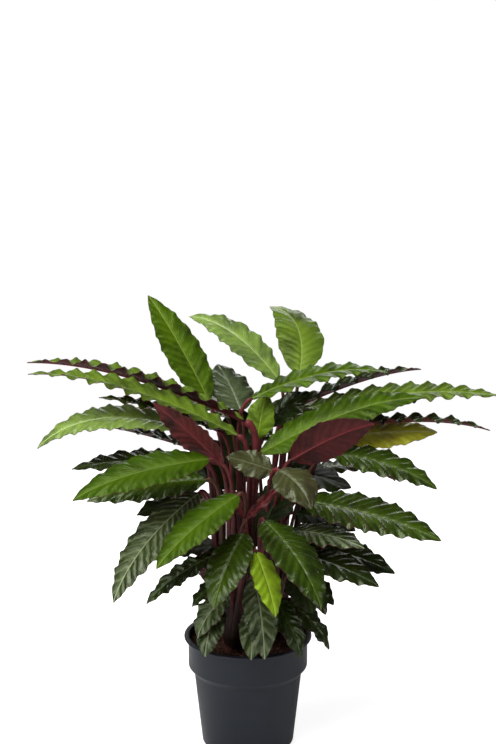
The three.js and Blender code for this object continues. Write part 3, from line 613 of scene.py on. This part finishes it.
# One blade: an upper sheet and a lower one, joined round the edge. Along it s runs from 0 to 1. Across it
# u runs from -1 at the left edge to 1 at the right one, and k is the distance from the midrib.
def blade(leaf, node, materials, widen=1):
    rng = random.Random(leaf.index * 7 + 3)
    rows = max(LEAST_ROWS, round(leaf.length / STATION))
    s = np.linspace(0, 1, rows + 1)[:, None]
    j = np.arange(-COLUMNS, COLUMNS + 1) / COLUMNS
    u = (np.sign(j) * np.abs(j) ** CROWDING)[None, :]
    k = np.abs(u)
    right = (u > 0).astype(float)
    share = outline(s)
    half = np.maximum(share * leaf.width * widen / 2, np.where(s < 0.5, ROOT_HALF, TIP_HALF))
    # The edge wave's phase. The two edges are half a wave apart.
    lag = WAVE_LEAN * (1 - k) * half / leaf.length
    drift = np.sin(DRIFT_TURNS * s + leaf.index + 2 * right)
    beat = leaf.waves * (s + lag) + (right + 0.5) / 2 + WAVE_DRIFT * drift / (2 * math.pi)
    phase = 2 * math.pi * beat
    # Distance out from the midrib and height above it: fold, sag and wave, then ruffle, then ridges.
    full = np.minimum(1, FILL * share)
    strength = WAVES.get(leaf.name, WAVE)
    swell = SWELL * strength * full * (EVEN_SWELL * k + LATE_SWELL * k * k)
    fold = math.radians(leaf.fold)
    wave = np.sin(phase + CREST_LEAN * np.sin(phase))
    out = u * half * (math.cos(fold) + SCALLOP * strength * np.cos(phase) * k * share)
    lift = half * (math.sin(fold) * k - SAG * k * k) + swell * wave
    shift = RUFFLE_SHIFT * leaf.index
    ruffle_phase = 2 * math.pi * (RUFFLES_PER_WAVE * leaf.waves * s + shift + 0.5 * right)
    lift = lift + RUFFLE * full * k**4 * np.sin(ruffle_phase)
    between = 4 * k * (1 - k) * full
    ridge = LOW_RIDGE if leaf.tone in ("bright", "lime", "olive") else RIDGE
    lift = lift + ridge * (between + RIDGE_AT_EDGE * k * full) * np.sin(VEINS_PER_WAVE * phase)
    # The upper sheet is grooved along the midrib, and the lower one has a keel there.
    far = k * half
    side, up = leaf.across(s[:, 0])
    spine = leaf.midrib(s[:, 0])
    middle = spine[:, None] + side[:, None] * out[..., None] + up[:, None] * lift[..., None]
    groove = GROOVE * np.exp(-((far / GROOVE_WIDTH) ** 2)) * np.minimum(1, (1 - s) * GROOVE_FADE)
    keel = (KEEL * (1 - s) + KEEL_TIP) * np.clip(1 - far / KEEL_WIDTH, 0, 1)
    top = middle + up[:, None] * (HALF_THICK - groove)[..., None]
    bottom = middle - up[:, None] * (HALF_THICK + keel)[..., None]
    columns = u.shape[1]
    count = (rows + 1) * columns
    verts = np.concatenate([top.reshape(-1, 3), bottom.reshape(-1, 3)])
    faces = grid_faces(rows + 1, columns, 0, True) + grid_faces(rows + 1, columns, count)
    faces += rim_faces(rows + 1, columns, count)
    upper = rows * (columns - 1)
    slots = [0] * upper + [1] * (len(faces) - upper)
    # What the materials read at each point, the same on both sheets.
    shape = (rows + 1, columns)
    shade = rng.random()
    single = {
        "across": k + 0 * s,
        "rib": far,
        "edge": (1 - k) * half,
        "beat": beat,
        "shade": np.full(shape, shade),
    }
    attributes = {key: np.tile(np.broadcast_to(value, shape).ravel(), 2) for key, value in single.items()}
    obj = new_object("blade_" + leaf.name, verts, faces, materials, BLADE_SMOOTHING, slots, attributes)
    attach(obj, "root")
    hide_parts(node)


# Stalks, bracts and crowns

STALK_ROWS = 36
STALK_SIDES = 12
STALK_RADIUS = 2.15
FOOT_FLARE = 0.75
FLARE_END = 0.7
# A stalk swells at its knee, just below its blade.
KNEE_SWELL = 0.5
KNEE_BELOW = 8
KNEE_REACH = 6
# Where its sheath ends, from 0 at the foot to 1 at the blade, and how much the sheath widens it.
SHEATH_END = (0.45, 0.78)
SHEATH_WING = 0.55
CHANNEL = 0.15
SHEATH_CHANNEL = 0.45
# The stalk's end runs on under the blade and thins out there.
END_DROP = 0.5
TIP_REACH = 3.5
TIP_DROP = 1.1
TIP_RADIUS = 1.0
TIP_SHARE = 1.02
# How stout a stalk is: three by name, and the others by their blade's length.
STOUT = {"left_far_high": 2.3, "left_far": 1.5, "left_arch": 1.2}
LEAST_STOUT = 0.88
STOUT_LENGTH = 800
# The bracts round a crown's foot. Each narrows from its spread, in degrees to either side, to a point,
# curls inward towards its tip, and has sides that dip into the soil.
BRACTS = 7
BRACT_ROWS = 9
BRACT_COLUMNS = 7
BRACT_SINK = 3
BRACT_SPREAD = 70
BRACT_THICK = 0.6
BRACT_SIZES = (0.7, 1.35)
BRACT_STEP = 0.25
BRACT_JITTER = 0.25
BRACT_NARROWING = 2.2
BRACT_POINT = 0.02
BRACT_INSET = 0.9
BRACT_CURL = 3.6
BRACT_CURL_POWER = 1.4
BRACT_EDGE_CURL = 0.3
BRACT_DIP = 2.5
SHOOT_SMOOTHING = 55


# A stalk's four curve points, and the level direction it leans in.
def stalk_path(leaf):
    x, y = CROWNS[leaf.crown]
    along = leaf.direction(np.zeros(1))[0]
    end = np.array(leaf.base, float) - along * BLADE_GAP
    outward = np.array([end[0] - x, end[1] - y, 0])
    outward /= np.linalg.norm(outward)
    root = np.array([x, y, SOIL_TOP - STALK_RING]) + outward * STALK_RING
    reach = np.linalg.norm(end - root)
    start = (end - root) * (1 - STALK_UPRIGHT) / reach
    start[2] += STALK_UPRIGHT
    return [root, root + start * reach * STALK_RISE, end - along * reach * STALK_KNEE, end], outward


def bezier(points, t):
    a, b, c, d = points
    t = t[:, None]
    return a * (1 - t) ** 3 + 3 * b * t * (1 - t) ** 2 + 3 * c * t * t * (1 - t) + d * t**3


# A stalk's points and faces, each point's share of the way up, and its own shade.
def stalk(leaf, rng):
    points, outward = stalk_path(leaf)
    t = np.linspace(0, 1, STALK_ROWS)
    path = bezier(points, t)
    up = leaf.across(np.zeros(1))[1]
    along = leaf.direction(np.zeros(1))[0]
    tip = path[-1] + along * TIP_REACH - up[0] * TIP_DROP
    path[-1] = path[-1] - up[0] * END_DROP
    path = np.concatenate([path, [tip]])
    tangent = np.gradient(path, axis=0)
    tangent /= np.linalg.norm(tangent, axis=1)[:, None]
    level = np.cross(tangent, outward)
    level /= np.maximum(np.linalg.norm(level, axis=1), 1e-6)[:, None]
    across = np.cross(level, tangent)
    t = np.append(t, TIP_SHARE)
    # Each ring's radius: stouter at the foot and the knee, winged and channelled along the sheath.
    reach = np.linalg.norm(points[3] - points[0])
    from_blade = (1 - t) * reach
    sheath = 1 - smooth(*SHEATH_END, t)
    stout = STOUT.get(leaf.name, LEAST_STOUT + leaf.length / STOUT_LENGTH)
    flare = FOOT_FLARE * (1 - smooth(0, FLARE_END, t))
    knee = KNEE_SWELL * np.exp(-(((from_blade - KNEE_BELOW) / KNEE_REACH) ** 2))
    radius = stout * (STALK_RADIUS + flare + knee)
    radius[-1] = TIP_RADIUS
    angle = 2 * np.pi * np.arange(STALK_SIDES) / STALK_SIDES
    groove = np.clip(-np.cos(angle), 0, 1) ** 2
    wide = 1 + SHEATH_WING * sheath[:, None] * np.abs(np.sin(angle))[None, :]
    ring = radius[:, None] * wide * (1 - (CHANNEL + SHEATH_CHANNEL * sheath[:, None]) * groove[None, :])
    verts = (
        path[:, None]
        + across[:, None] * (ring * np.cos(angle))[..., None]
        + level[:, None] * (ring * np.sin(angle))[..., None]
    )
    rows = len(path)
    faces = grid_faces(rows, STALK_SIDES, closed=True)
    faces.append(list(range(STALK_SIDES))[::-1])
    faces.append([(rows - 1) * STALK_SIDES + c for c in range(STALK_SIDES)])
    height = np.repeat(t, STALK_SIDES)
    return verts.reshape(-1, 3), faces, height, rng.random()


# A dry, pointed scale that hugs the crown's foot.
def bract(x, y, turn, size, lean):
    r = np.linspace(0, 1, BRACT_ROWS)[:, None]
    c = np.linspace(-1, 1, BRACT_COLUMNS)[None, :]
    low = SOIL_TOP - BRACT_SINK
    tall = CROWN_HEIGHT * size
    spread = math.radians(BRACT_SPREAD) * (1 - r**BRACT_NARROWING) + BRACT_POINT
    angle = turn + spread * c + 0 * r
    curl = BRACT_CURL * r**BRACT_CURL_POWER * (1 - BRACT_EDGE_CURL * np.abs(c))
    radius = CROWN_RADIUS - BRACT_INSET + lean - curl
    height = low + tall * r - BRACT_DIP * np.abs(c) * (1 - r)
    layers = []
    for reach in (radius, radius - BRACT_THICK):
        place = [x + reach * np.cos(angle), y + reach * np.sin(angle), height + 0 * angle]
        layers.append(np.stack(place, -1).reshape(-1, 3))
    count = BRACT_ROWS * BRACT_COLUMNS
    faces = grid_faces(BRACT_ROWS, BRACT_COLUMNS) + grid_faces(BRACT_ROWS, BRACT_COLUMNS, count, True)
    faces += rim_faces(BRACT_ROWS, BRACT_COLUMNS, count, True)
    return np.concatenate(layers), faces, np.tile((r + 0 * c).ravel(), 2)


# One shoot: the stalks of its leaves and the bracts round its foot.
def crown(name, leaves, materials):
    rng = random.Random(len(name) * 13 + 5)
    x, y = CROWNS[name]
    verts, faces, slots, height, shade = [], [], [], [], []

    def add(part, slot, tone):
        points, polygons, heights = part
        faces.extend([[k + len(verts) for k in polygon] for polygon in polygons])
        slots.extend([slot] * len(polygons))
        verts.extend(points.tolist())
        height.extend(heights.tolist())
        shade.extend([tone] * len(points))

    for leaf in leaves:
        *part, tone = stalk(leaf, rng)
        add(part, 0, tone)
    for k in range(BRACTS):
        turn = 2 * math.pi * k / BRACTS + rng.uniform(-BRACT_JITTER, BRACT_JITTER)
        add(bract(x, y, turn, rng.uniform(*BRACT_SIZES), BRACT_STEP * (k % 3)), 1, rng.random())
    attributes = {"height": height, "shade": shade}
    obj = new_object("shoot_" + name, verts, faces, materials, SHOOT_SMOOTHING, slots, attributes)
    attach(obj, "root")
    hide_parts("crown_" + name)


# Nursery pot

POT_SEGMENTS = 144
POT_ROUNDING = 1.0
CORNER_STEPS = 4
# A corner's rounding takes no more than this share of the edges beside it.
CORNER_SHARE = 0.45
POT_SMOOTHING = 35
DRAIN_SIDES = 32
DRAIN_CUT = 20
# The inside steps up a little at the shoulder.
INNER_STEP = 0.3


# Rounds each corner of a profile by radius times the number beside it.
def rounded(points, radius):
    result = []
    for k, (point, turn) in enumerate(points):
        if not turn:
            result.append(point)
            continue
        here = np.array(point, float)
        before = np.array(points[k - 1][0], float) - here
        after = np.array(points[k + 1][0], float) - here
        back, ahead = np.linalg.norm(before), np.linalg.norm(after)
        size = min(radius * turn, CORNER_SHARE * back, CORNER_SHARE * ahead)
        a = here + before / back * size
        b = here + after / ahead * size
        for step in range(CORNER_STEPS + 1):
            t = step / CORNER_STEPS
            result.append(tuple(a * (1 - t) ** 2 + 2 * here * t * (1 - t) + b * t * t))
    return result


# The pot's profile turned round its axis, with its drain holes cut out.
def pot(material):
    corners = [
        ((0, 0), 0),
        ((DISC_RADIUS, 0), 1),
        ((DISC_RADIUS + CHANNEL_SLOPE, CHANNEL_RISE), 1),
        ((FOOT_RADIUS - CHANNEL_SLOPE, CHANNEL_RISE), 1),
        ((FOOT_RADIUS, 0), 1),
        ((BASE_RADIUS - BASE_ROUNDING, 0), 1),
        ((BASE_RADIUS, BASE_ROUNDING), 2),
        ((SHOULDER_RADIUS, SHOULDER), 1),
        ((COLLAR_RADIUS, COLLAR_FOOT), 0.8),
        ((COLLAR_RADIUS, POT_HEIGHT - LIP_THICKNESS), 0.8),
        ((LIP_RADIUS, POT_HEIGHT - LIP_THICKNESS), 1.1),
        ((LIP_RADIUS, POT_HEIGHT), 1.4),
        ((COLLAR_RADIUS - WALL, POT_HEIGHT), 1.2),
        ((COLLAR_RADIUS - WALL, COLLAR_FOOT + INNER_STEP * WALL), 0.8),
        ((SHOULDER_RADIUS - WALL, SHOULDER + INNER_STEP * WALL), 1),
        ((BASE_RADIUS - WALL, WALL), 1),
        ((FOOT_RADIUS + WALL, WALL), 1),
        ((FOOT_RADIUS - CHANNEL_SLOPE + WALL, CHANNEL_RISE + WALL), 1),
        ((DISC_RADIUS + CHANNEL_SLOPE - WALL, CHANNEL_RISE + WALL), 1),
        ((DISC_RADIUS - WALL, WALL), 1),
        ((0, WALL), 0),
    ]
    profile = rounded(corners, POT_ROUNDING)
    verts = [(0, 0, profile[0][1])]
    ring = profile[1:-1]
    for radius, height in ring:
        for k in range(POT_SEGMENTS):
            angle = 2 * math.pi * k / POT_SEGMENTS
            verts.append((radius * math.cos(angle), radius * math.sin(angle), height))
    verts.append((0, 0, profile[-1][1]))
    last = len(verts) - 1
    faces = grid_faces(len(ring), POT_SEGMENTS, 1, closed=True)
    top = 1 + (len(ring) - 1) * POT_SEGMENTS
    for k in range(POT_SEGMENTS):
        d = (k + 1) % POT_SEGMENTS
        faces.append([0, 1 + d, 1 + k])
        faces.append([last, top + k, top + d])
    obj = new_object("nursery_pot", verts, faces, [material])
    # The drain holes.
    drain_ring = (DISC_RADIUS + FOOT_RADIUS) / 2
    cutters = []
    for k in range(DRAIN_COUNT):
        angle = 2 * math.pi * (k + 0.5) / DRAIN_COUNT
        bpy.ops.mesh.primitive_cylinder_add(
            vertices=DRAIN_SIDES,
            radius=DRAIN_RADIUS * MM,
            depth=DRAIN_CUT * MM,
            location=(drain_ring * math.cos(angle) * MM, drain_ring * math.sin(angle) * MM, 0),
        )
        cutters.append(bpy.context.object)
    for cutter in cutters:
        cut = obj.modifiers.new("drain", "BOOLEAN")
        cut.operation = "DIFFERENCE"
        cut.solver = "EXACT"
        cut.object = cutter
    depsgraph = bpy.context.evaluated_depsgraph_get()
    drained = bpy.data.meshes.new_from_object(obj.evaluated_get(depsgraph))
    obj.modifiers.clear()
    obj.data = drained
    for cutter in cutters:
        bpy.data.objects.remove(cutter)
    drained.polygons.foreach_set("use_smooth", np.ones(len(drained.polygons), bool))
    drained.set_sharp_from_angle(angle=math.radians(POT_SMOOTHING))
    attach(obj, "root")
    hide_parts("pot")


# Soil

SOIL_RINGS = 34
SOIL_SEGMENTS = 120
SOIL_SMOOTHING = 60
LUMP_HEIGHT = 0.9
GRAIN_HEIGHT = 0.5
# What the soil leaves free at the wall of the collar and the floor, and at the tapering body.
SEAT_GAP = 0.3
WALL_CLEARANCE = 0.6
SHOULDER_LIFT = 2.2
SOIL_CRUMBS = 620
CRUMB_REACH = 75
CRUMB_CLEARANCE = 1
CRUMB_DARKENING = 1.5
CRUMB_SIZES = [1.0, 1.3, 1.7, 2.2, 2.9]
CRUMB_STRETCH = [(0.7, 1.5), (0.6, 1.0), (0.35, 0.7)]
CRUMB_RISE = 0.25
CRUMB_TILT = 0.25
CRUMB_ROUGHNESS = 0.3


# The lumpy surface of the soil.
def soil_height(x, y):
    lump = np.sin(0.13 * x + 1) * np.cos(0.11 * y) + 0.5 * np.sin(0.23 * y - 0.19 * x)
    fine = np.sin(0.61 * x + 0.3 * y) * np.sin(0.53 * y - 0.2 * x + 2)
    fine = fine + 0.6 * np.sin(1.3 * x) * np.sin(1.1 * y + 1)
    return SOIL_TOP + LUMP_HEIGHT * lump + GRAIN_HEIGHT * fine


# The soil's surface and its sides, which follow the pot's inside.
def soil(material):
    edge = COLLAR_RADIUS - WALL - SEAT_GAP
    floor = CHANNEL_RISE + WALL + SEAT_GAP
    angle = 2 * np.pi * np.arange(SOIL_SEGMENTS) / SOIL_SEGMENTS
    radii = edge * np.linspace(0, 1, SOIL_RINGS + 1)[1:]
    verts = [(0, 0, float(soil_height(0, 0)))]
    for radius in radii:
        x, y = radius * np.cos(angle), radius * np.sin(angle)
        verts += np.stack([x, y, soil_height(x, y)], -1).tolist()
    sides = [
        (edge, COLLAR_FOOT + SHOULDER_LIFT),
        (SHOULDER_RADIUS - WALL - WALL_CLEARANCE, SHOULDER + WALL_CLEARANCE),
        (BASE_RADIUS - WALL - WALL_CLEARANCE, floor),
    ]
    for radius, height in sides:
        verts += [(radius * math.cos(a), radius * math.sin(a), height) for a in angle]
    verts.append((0, 0, floor))
    rows = SOIL_RINGS + len(sides)
    faces = grid_faces(rows, SOIL_SEGMENTS, 1, True, True)
    last, bottom = len(verts) - 1, 1 + (rows - 1) * SOIL_SEGMENTS
    for k in range(SOIL_SEGMENTS):
        d = (k + 1) % SOIL_SEGMENTS
        faces.append([0, 1 + k, 1 + d])
        faces.append([last, bottom + d, bottom + k])
    obj = new_object("potting_soil", verts, faces, [material], SOIL_SMOOTHING)
    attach(obj, "root")
    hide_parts("soil")


# Loose crumbs of bark and peat, strewn between the crowns.
def crumbs(material):
    rng = random.Random(41)
    corners = [(1, 0, 0), (-1, 0, 0), (0, 1, 0), (0, -1, 0), (0, 0, 1), (0, 0, -1)]
    octahedron = [(0, 2, 4), (2, 1, 4), (1, 3, 4), (3, 0, 4), (2, 0, 5), (1, 2, 5), (3, 1, 5), (0, 3, 5)]
    verts, faces, shade = [], [], []
    placed = 0
    while placed < SOIL_CRUMBS:
        radius = CRUMB_REACH * math.sqrt(rng.random())
        angle = rng.uniform(0, 2 * math.pi)
        x, y = radius * math.cos(angle), radius * math.sin(angle)
        if any(math.hypot(x - a, y - b) < CROWN_RADIUS + CRUMB_CLEARANCE for a, b in CROWNS.values()):
            continue
        placed += 1
        size = rng.choice(CRUMB_SIZES)
        stretch = [size * rng.uniform(*limits) for limits in CRUMB_STRETCH]
        turn = rng.uniform(0, math.pi)
        tone = rng.random() ** CRUMB_DARKENING
        height = float(soil_height(x, y)) + CRUMB_RISE * stretch[2]
        start = len(verts)
        for corner in corners:
            px, py, pz = [
                (part + rng.uniform(-CRUMB_ROUGHNESS, CRUMB_ROUGHNESS)) * scale
                for part, scale in zip(corner, stretch)
            ]
            pz += CRUMB_TILT * px * rng.uniform(-1, 1)
            qx = px * math.cos(turn) - py * math.sin(turn)
            qy = px * math.sin(turn) + py * math.cos(turn)
            verts.append((x + qx, y + qy, height + pz))
            shade.append(tone)
        faces += [[start + k for k in face] for face in octahedron]
    obj = new_object("soil_crumbs", verts, faces, [material], attributes={"shade": shade})
    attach(obj, "root")


# Light, floor and camera, in metres, watts and degrees

AMBIENT = 0.06
FLOOR_GLOW = 0.75
FLOOR_SPAN = 1.5
LENS = 71.7
SENSOR = 36
CAMERA_PLACE = (0.0001, -1.8544, 0.8992)
CAMERA_TILT = 78
AIM = (0, 0, 0.35)
# name, place, size, power
LIGHTS = [
    ["overhead", (-0.5, -0.6, 1.9), (1.6, 1.2), 34],
    ["backdrop", (0.2, 1.6, 1.3), (1.6, 0.7), 9],
    ["left_front", (-1.5, -1.1, 1.2), (1.6, 2.0), 24],
    ["right_front", (1.7, -1.1, 1.0), (0.7, 1.2), 7],
]


# Floor and backdrop are plain white to look at, and light the plant only faintly.
def stage():
    n = Nodes("floor")
    seen = n.add("ShaderNodeLightPath").outputs["Is Camera Ray"]
    glow = n.math("MULTIPLY", seen, FLOOR_GLOW)
    gloss = {"Specular_IOR_Level": 0.1, "Emission_Color": (1, 1, 1), "Emission_Strength": glow}
    white = n.finish(FLOOR_WHITE, 0.9, **gloss)
    far = FLOOR_SPAN / MM
    corners = [(-far, -far, 0), (far, -far, 0), (far, far, 0), (-far, far, 0)]
    floor = new_object("floor", corners, [[0, 1, 2, 3]], [white])
    world = bpy.data.worlds.new("studio")
    bpy.context.scene.world = world
    world.use_nodes = True
    background = world.node_tree.nodes["Background"]
    background.inputs["Color"].default_value = (1, 1, 1, 1)
    seen = world.node_tree.nodes.new("ShaderNodeLightPath")
    level = world.node_tree.nodes.new("ShaderNodeMapRange")
    level.inputs["To Min"].default_value = AMBIENT
    level.inputs["To Max"].default_value = 1
    world.node_tree.links.new(seen.outputs["Is Camera Ray"], level.inputs["Value"])
    world.node_tree.links.new(level.outputs[0], background.inputs["Strength"])


# A rectangular light that faces AIM.
def softbox(name, place, size, power):
    light = bpy.data.lights.new(name, "AREA")
    light.shape = "RECTANGLE"
    light.size, light.size_y = size
    light.energy = power
    obj = bpy.data.objects.new(name, light)
    bpy.context.scene.collection.objects.link(obj)
    obj.location = place
    line = np.array(AIM) - np.array(place)
    yaw = math.atan2(line[1], line[0])
    pitch = math.atan2(line[2], math.hypot(line[0], line[1]))
    obj.rotation_euler = (math.pi / 2 + pitch, 0, yaw - math.pi / 2)


def camera():
    data = bpy.data.cameras.new("camera")
    data.lens = LENS
    data.sensor_width = SENSOR
    obj = bpy.data.objects.new("camera", data)
    bpy.context.scene.collection.objects.link(obj)
    obj.location = CAMERA_PLACE
    obj.rotation_euler = (math.radians(CAMERA_TILT), 0, 0)
    bpy.context.scene.camera = obj


camera()
stage()
for row in LIGHTS:
    softbox(*row)
bpy.context.scene.view_settings.view_transform = "Standard"

leaves = [Leaf(row, index) for index, row in enumerate(LEAVES)]
inner_leaves = [Leaf(row, index) for index, row in enumerate(INNER_LEAVES)]
finishes = {tone: [upper_material(tone), under_material(tone)] for tone in TONES}
finishes["wine"] = [finishes["green"][1], finishes["green"][1]]
for leaf in leaves:
    blade(leaf, "leaf_" + leaf.name, finishes[FINISHES.get(leaf.name, leaf.tone)])
for leaf in inner_leaves:
    if leaf.tone == "wine":
        blade(leaf, "crown_" + leaf.crown, finishes["wine"])
    else:
        # The leaves deep inside the plant take the inner tone, darkened as painted shade.
        blade(leaf, "crown_" + leaf.crown, finishes["inner"], INNER_WIDEN)
shoot_materials = [stalk_material(), bract_material()]
for name in CROWNS:
    crown(name, [leaf for leaf in leaves + inner_leaves if leaf.crown == name], shoot_materials)
pot(pot_material())
soil(soil_material())
crumbs(crumb_material())
